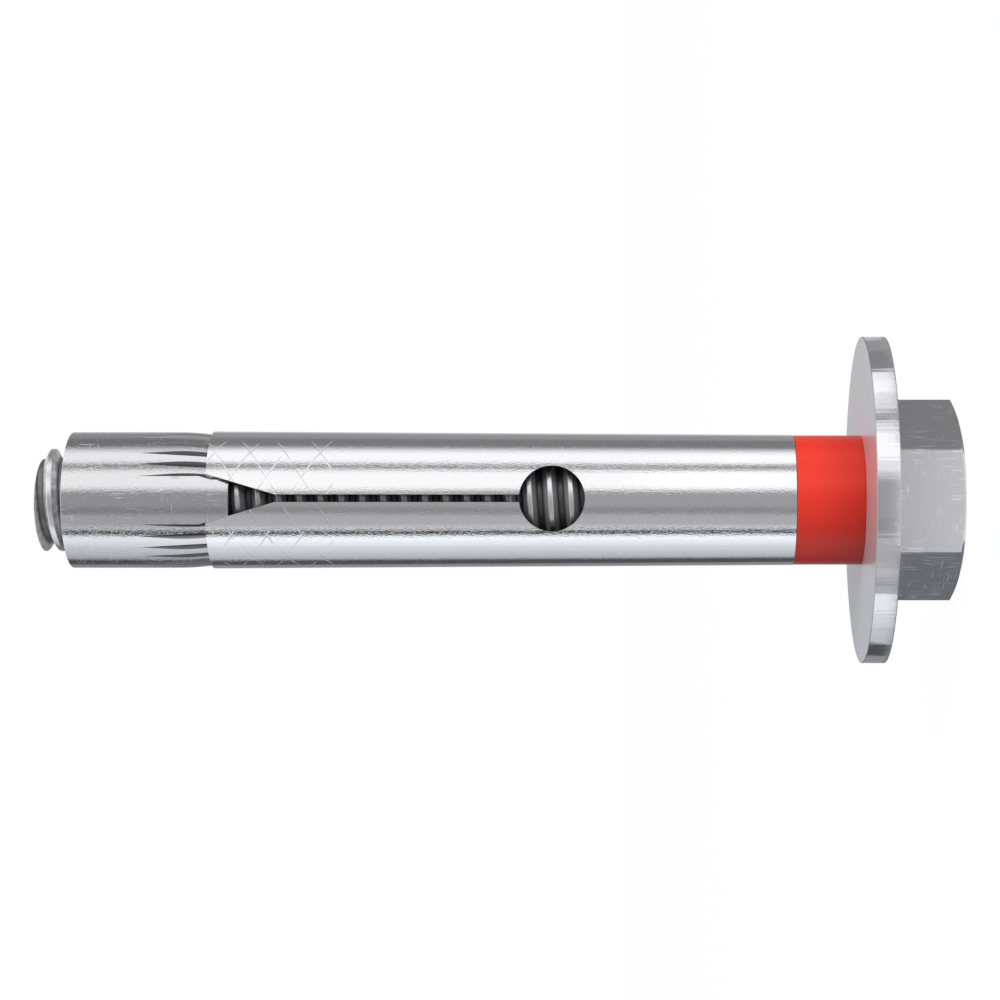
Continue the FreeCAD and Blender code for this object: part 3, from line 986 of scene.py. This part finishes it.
barrel = Finish("nut_plating")
below = barrel.most(barrel.sum("SUBTRACT", (NUT_FOOT + CONE_LENGTH) / MM, barrel.z), 0.0)
arc = barrel.sum("SUBTRACT", (arc_radius / MM) ** 2, barrel.sum("POWER", below, 2.0))
drop = barrel.sum("SUBTRACT", arc_radius / MM, barrel.sum("SQRT", arc))
skin = barrel.sum("SUBTRACT", BARREL_RADIUS / MM, drop)
depth = barrel.sum("SUBTRACT", skin, barrel.radius)
mouth = SLEEVE_MOUTH / MM
# Painted shade in the flutes, by their depth beneath the skin.
inside = barrel.times(
    barrel.between(depth, *SKIN_MM, 0.0, FLUTES_PAINTED_SHADE),
    barrel.between(barrel.z, mouth - MOUTH_BLUR_MM, mouth + MOUTH_BLUR_MM, PAINTED_SHADE_IN_MOUTH, 1.0),
    barrel.off_end(NUT_END),
)
nut_zinc = barrel.coat(*plate(barrel, NUT_ZINC, rarity=0.7, hazy=0.45, inside=inside))

# %% [markdown]
# ## The sleeve's finish
# Only the outside of the strip is bright. Its bore, the seat for the cone and the sides of the
# cuts get painted shade, dark and dull. The outside widens evenly from foot to mouth, so its
# radius is known at each height, and what lies more than a hair beneath it counts as inside.
# The flat end of the mouth doesn't, because it catches the light.

# %% Zinc on the sleeve, with painted shade in its bore and its cuts
WALL_INSIDE_MM = 0.06

strip = Finish("sleeve_plating")
low, high = SLEEVE_FOOT / MM, SLEEVE_MOUTH / MM
outside = strip.between(
    strip.z, low, high, (SLEEVE_BORE + SLEEVE_WALL) / MM, (LIP_RADIUS + LIP) / MM
)
depth = strip.sum("SUBTRACT", outside, strip.radius)
# Painted shade on the bore, the seat and the sides of the cuts.
inside = strip.between(depth, WALL_INSIDE_MM / 2, WALL_INSIDE_MM)
inside = strip.times(inside, strip.off_end(SLEEVE_MOUTH))
base, roughness, height = plate(strip, inside=inside)
print(f"outside from {(SLEEVE_BORE + SLEEVE_WALL) / MM:.2f} to {(LIP_RADIUS + LIP) / MM:.2f} mm")

# %% [markdown]
# ## The sleeve's diamonds
# The mouth end of the sleeve is scribed with two families of slanting lines that cross in
# diamonds. Unrolled, the families are straight: the angle about the axis and the distance from
# the mouth, each counted in half diamonds, add up to an even number on the one family and
# differ by an even number on the other. An angle has to jump somewhere by a full turn, and
# here it does so at the open seam, where no line can show the jump.

# %% Places on the sleeve, counted in half diamonds
HALF_DIAMOND_DEGREES = 24.6
HALF_DIAMOND_MM = 1.265
CROSSING_DEGREES = 43.7
CROSSING_BELOW_MOUTH_MM = 0.56
SEAM_DEGREES = -118.5

opposite = math.radians(SEAM_DEGREES + 180)
sine, cosine = math.sin(opposite), math.cos(opposite)
turned_x = strip.sum("ADD", strip.times(strip.x, cosine), strip.times(strip.y, sine))
turned_y = strip.sum("SUBTRACT", strip.times(strip.x, sine), strip.times(strip.y, cosine))
turn = strip.sum("DEGREES", strip.sum("ARCTAN2", turned_x, turned_y))
from_crossing = strip.sum("SUBTRACT", turn, CROSSING_DEGREES - SEAM_DEGREES - 180)
around_count = strip.sum("DIVIDE", from_crossing, HALF_DIAMOND_DEGREES)
below_crossing = strip.sum("SUBTRACT", high - CROSSING_BELOW_MOUTH_MM, strip.z)
along_count = strip.sum("DIVIDE", below_crossing, HALF_DIAMOND_MM)
print("a diamond is", 2 * HALF_DIAMOND_DEGREES, "degrees by", 2 * HALF_DIAMOND_MM, "mm")

# %% [markdown]
# ## Worn lines
# A scribed line is a shallow groove with a rough floor, so it shows light where the metal
# around it mirrors something dark, and dark where the metal mirrors white. Lines wear off in
# patches, each family in its own. On a stretch beside the slot one family was never cut, and
# towards the picture's upper edge both run out.

# %% Two families of scribed lines, worn in places
SCRIBED_LENGTH_MM = 9.15
SCRIBED_FADE_MM = 0.05
SCRIBE_HALF = 0.045  # of half a diamond
SCRIBE_DEPTH_MM = 0.012
SCRIBE_ROUGH = 0.5
WORN_NOISE = (0.36, 0.54)
WORN_LEAVES = 0.15
MISSED_AT_X = -1.05
MISSED_TO_EACH_SIDE = (0.9, 1.3)
MISSED_LEAVES = 0.12
LINES_END_AT_X = (4.5, 4.2)

families = []
for operation, seed in (("ADD", 5.0), ("SUBTRACT", 13.0)):
    distance = strip.sum("PINGPONG", strip.sum(operation, around_count, along_count), 1.0)
    line = strip.between(distance, SCRIBE_HALF, 0.0)
    wear = strip.noise(across=0.9, along=0.9, detail=1.0, seed=seed)
    families.append(strip.times(line, strip.between(wear, *WORN_NOISE, WORN_LEAVES, 1.0)))
aside = strip.sum("ABSOLUTE", strip.sum("SUBTRACT", strip.x, MISSED_AT_X))
cut = strip.between(aside, *MISSED_TO_EACH_SIDE, MISSED_LEAVES, 1.0)
families[1] = strip.times(families[1], cut)
end = high - SCRIBED_LENGTH_MM
scribed = strip.times(
    strip.most(*families),
    strip.between(strip.x, *LINES_END_AT_X),
    strip.between(strip.z, end - SCRIBED_FADE_MM, end),
)
groove = strip.times(scribed, -SCRIBE_DEPTH_MM)
roughness = strip.level(scribed, roughness, SCRIBE_ROUGH)
sleeve_zinc = strip.coat(base, roughness, strip.sum("ADD", height, groove))

# %% [markdown]
# ## The bolt's thread
# The crests of the thread are bright zinc, while its flanks get painted shade, grey and dull,
# and its roots painted shade that is nearly black. The distance from the axis tells the three
# apart. Beyond the nut, in the open, the flanks get less painted shade, in random patches, and
# the roots a little less, and under the narrow part of the slot the crests get painted shade
# too.

# %% Zinc on the thread: bright crests, with painted shade on flanks and roots
THREAD_ZINC = (0.92, 0.92, 0.93, 1)
# The slot, flank and root colours are painted shade, and the open flank's colour is less of it.
SLOT_PAINTED_SHADE = (0.4, 0.4, 0.41, 1)
FLANK_PAINTED_SHADE = (0.42, 0.42, 0.43, 1)
OPEN_FLANK_LESS_SHADE = (0.8, 0.8, 0.81, 1)
ROOT_PAINTED_SHADE = (0.1, 0.1, 0.1, 1)
THREAD_ROUGH = 0.3
FLANK_ROUGH = 0.36
FLANK_METALLIC = 0.65
FLANK_BELOW_CREST = (0.005, 0.03)
ROOT_REACHES_UP = (0.3, 0.1)
ROOT_IN_THE_OPEN = 0.85
LESS_SHADE_NOISE = (0.3, 0.56)
HEAD_BLUR_MM = 0.05
OPEN_BLUR_MM = 1.0
THROAT_BLUR_MM = 3.0
HOLE_BLUR_MM = 0.4

steel = Finish("bolt_plating")
crest = CREST_RADIUS / MM
root = crest - thread_depth / MM
beyond_head = steel.between(steel.z, HEAD_TOP / MM, HEAD_TOP / MM + HEAD_BLUR_MM)
below_crest = steel.sum("SUBTRACT", crest, steel.radius)
on_flank = steel.between(below_crest, *FLANK_BELOW_CREST)
on_flank = steel.times(on_flank, beyond_head, steel.off_end(BOLT_TIP))
in_the_open = steel.between(steel.z, NUT_END / MM - OPEN_BLUR_MM, NUT_END / MM)
above_root = steel.sum("SUBTRACT", steel.radius, root)
# The roots' painted shade, a little less in the open.
in_root = steel.between(above_root, *ROOT_REACHES_UP)
in_root = steel.times(in_root, steel.level(in_the_open, 1.0, ROOT_IN_THE_OPEN))
slot_end = (relief_height + RELIEF_RADIUS) / MM
# Painted shade on the crests under the narrow part of the slot.
slot_shade = steel.times(
    steel.between(steel.z, throat / MM + THROAT_BLUR_MM, throat / MM),
    steel.between(steel.z, slot_end, slot_end + HOLE_BLUR_MM),
)
crests = steel.blend(slot_shade, THREAD_ZINC, SLOT_PAINTED_SHADE)
base, roughness, height = plate(steel, crests)
# Beyond the nut the flanks get less painted shade, in random patches.
patches = steel.between(steel.noise(across=1.6, along=1.6, seed=17.0), *LESS_SHADE_NOISE)
flank_shade = steel.blend(steel.times(in_the_open, patches), FLANK_PAINTED_SHADE, OPEN_FLANK_LESS_SHADE)
base = steel.blend(on_flank, base, steel.blend(in_root, flank_shade, ROOT_PAINTED_SHADE))
roughness = steel.level(on_flank, THREAD_ROUGH, FLANK_ROUGH)
steel.set("Metallic", steel.level(on_flank, 1.0, FLANK_METALLIC))
print(f"crest {crest:.2f} mm, root {root:.2f} mm")

# %% [markdown]
# ## The bolt's head
# The head keeps the dull grey skin of forging under its zinc, with light scratches from the
# box that it came in, more of them on the side that took the knocks. Head and thread are one
# piece, so one material holds both and changes over at the washer.

# %% Zinc on the forged head, joined to the thread's
HEAD_ZINC = (0.62, 0.62, 0.62, 1)
HEAD_SCRATCHED = (0.9, 0.9, 0.9, 1)
HEAD_ROUGH = 0.28
HEAD_SCRATCH_ROUGH = 0.5
KNOCKED_AT_X = (-2.5, -4.0)

scratches = steel.most(
    steel.streaks(9.0, 0.7, rarity=0.65, seed=23.0),
    steel.streaks(0.8, 10.0, rarity=0.7, seed=31.0),
)
more = steel.most(
    steel.streaks(7.0, 0.5, rarity=0.6, seed=43.0),
    steel.streaks(0.7, 8.0, rarity=0.68, seed=51.0),
)
knocked = steel.between(steel.x, *KNOCKED_AT_X)
scratches = steel.most(scratches, steel.times(more, knocked))
head_base = steel.blend(scratches, HEAD_ZINC, HEAD_SCRATCHED)
head_rough = steel.level(scratches, HEAD_ROUGH, HEAD_SCRATCH_ROUGH)
bolt_zinc = steel.coat(
    steel.blend(beyond_head, head_base, base),
    steel.level(beyond_head, head_rough, roughness),
    height,
)

# %% [markdown]
# ## Washer
# The washer is stamped from sheet, so its rim is straight and its edges are hardly broken. The
# frame already holds it in its true form, so it only needs its finish: satin faces, a bright
# rim with soft marks across it, and painted shade on each broken edge, over its highlight.

# %% Zinc on the washer: satin faces and a bright rim
WASHER_FACE = (0.84, 0.85, 0.89, 1)
FACE_METALLIC = 0.4
FACE_ROUGH = 0.25
# The edges' colour is painted shade, over the highlight they would catch.
EDGE_PAINTED_SHADE = (0.55, 0.55, 0.56, 1)
EDGE_ROUGH = 0.5
EDGE_MM = (0.065, 0.05)
RIM_BAND_MM = 0.08
RIM_MARKS_MM = 0.024
RIM_GRAIN = 0.3

disc = Finish("washer_plating")
rim_start = WASHER_RADIUS / MM - RIM_BAND_MM
on_rim = disc.between(disc.radius, rim_start, rim_start + RIM_BAND_MM / 2)
base, roughness, height = plate(disc, hazy=0.0)
middle = (washer_low.z + washer_high.z) / 2 / MM
half = (washer_high.z - washer_low.z) / 2 / MM
from_middle = disc.sum("ABSOLUTE", disc.sum("SUBTRACT", disc.z, middle))
from_face = disc.sum("SUBTRACT", half, from_middle)
# Painted shade on each broken edge.
on_edge = disc.between(from_face, *EDGE_MM)
rim_marks = disc.times(disc.noise(across=1.8, along=0.06), RIM_MARKS_MM)
washer_zinc = disc.coat(
    disc.blend(on_rim, WASHER_FACE, disc.blend(on_edge, base, EDGE_PAINTED_SHADE)),
    disc.level(on_rim, FACE_ROUGH, disc.level(on_edge, roughness, EDGE_ROUGH)),
    disc.sum("ADD", rim_marks, disc.times(height, RIM_GRAIN)),
)
disc.set("Metallic", disc.level(on_rim, FACE_METALLIC, 1.0))

# %% [markdown]
# ## The plastic ring
# The ring is a short moulded tube, which collapses when the bolt is tightened. The frame holds
# its true form as well. The plastic is a satin red with faint streaks from the way it flowed
# into the mould, and painted shade makes it deeper towards the washer.

# %% Satin red plastic
RED = (0.885, 0.037, 0.018, 1)
# The deeper red is painted shade towards the washer.
SHADED_RED = (0.487, 0.02, 0.01, 1)
SATIN = 0.3
GLOSS = 0.35
FLOW_NOISE = (0.35, 0.65)
FLOW_LEAVES = 0.94
PAINTED_SHADE_MM = 3.75
RED_SHARE_AT_FOOT = 0.2

plastic = Finish("satin_red")
plastic.set("Roughness", SATIN)
plastic.set("Specular IOR Level", GLOSS)
streaks = plastic.noise(across=1.2, along=0.25)
flow = plastic.between(streaks, *FLOW_NOISE, FLOW_LEAVES, 1.0)
foot = RING_FOOT / MM
# Painted shade: the red deepens over the last few millimetres towards the washer.
red_share = plastic.between(plastic.z, foot, foot + PAINTED_SHADE_MM, RED_SHARE_AT_FOOT, 1.0)
plastic.set("Base Color", plastic.blend(plastic.times(flow, red_share), SHADED_RED, RED))
print("satin_red ready")

# %% [markdown]
# ## Dress the pieces
# Each modelled piece takes the place of one node of the frame and rides on that node's body,
# so it moves with the joints. The washer and the plastic ring are the frame's own nodes, and
# only change their material.

# %% Dress the pieces and hang them on the anchor's bodies
for name, finish in (("washer", washer_zinc), ("spacer_ring", plastic.material)):
    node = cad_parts[name]
    node.data.materials.clear()
    node.data.materials.append(finish)
for piece, body, node, slot_name, finish in (
    (bolt, "bolt", "hex_bolt", "bolt_zinc", bolt_zinc),
    (sleeve, "sleeve", "expansion_sleeve", "sleeve_zinc", sleeve_zinc),
    (nut, "nut", "cone_nut", "nut_zinc", nut_zinc),
):
    piece.data.materials.clear()
    piece.data.materials.append(finish)
    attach(piece, body)
    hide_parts(node)
    print(piece.name, "rides on", body)

# %% [markdown]
# ## The end
# The last step brings the view layer up to date.

# %% The end
bpy.context.view_layer.update()
